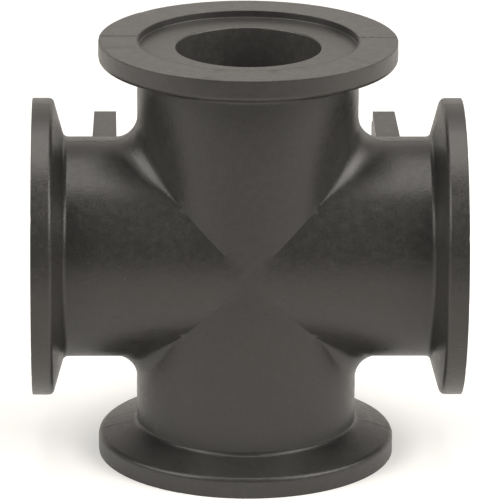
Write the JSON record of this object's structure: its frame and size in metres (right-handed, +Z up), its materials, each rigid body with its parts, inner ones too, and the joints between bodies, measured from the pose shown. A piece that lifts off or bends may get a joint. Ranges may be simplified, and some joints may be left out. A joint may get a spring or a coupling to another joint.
{
  "type": "flanged cross",
  "caption": "Moulded plastic pipe cross with equal flanged ports, a gasket recess in each face, rounded corners between its arms and mounting feet behind.",
  "frame": {"origin": "where the axes of the four arms cross", "axes": "+Z up along the upright arms, +X along the level arms to the right, -Y to the front"},
  "size_m": [0.11, 0.0827, 0.11],
  "materials": {
    "black_plastic": "fine matte, as moulded"
  },
  "bodies": {
    "root": {"cross_body": "black_plastic"}
  },
  "joints": []
}
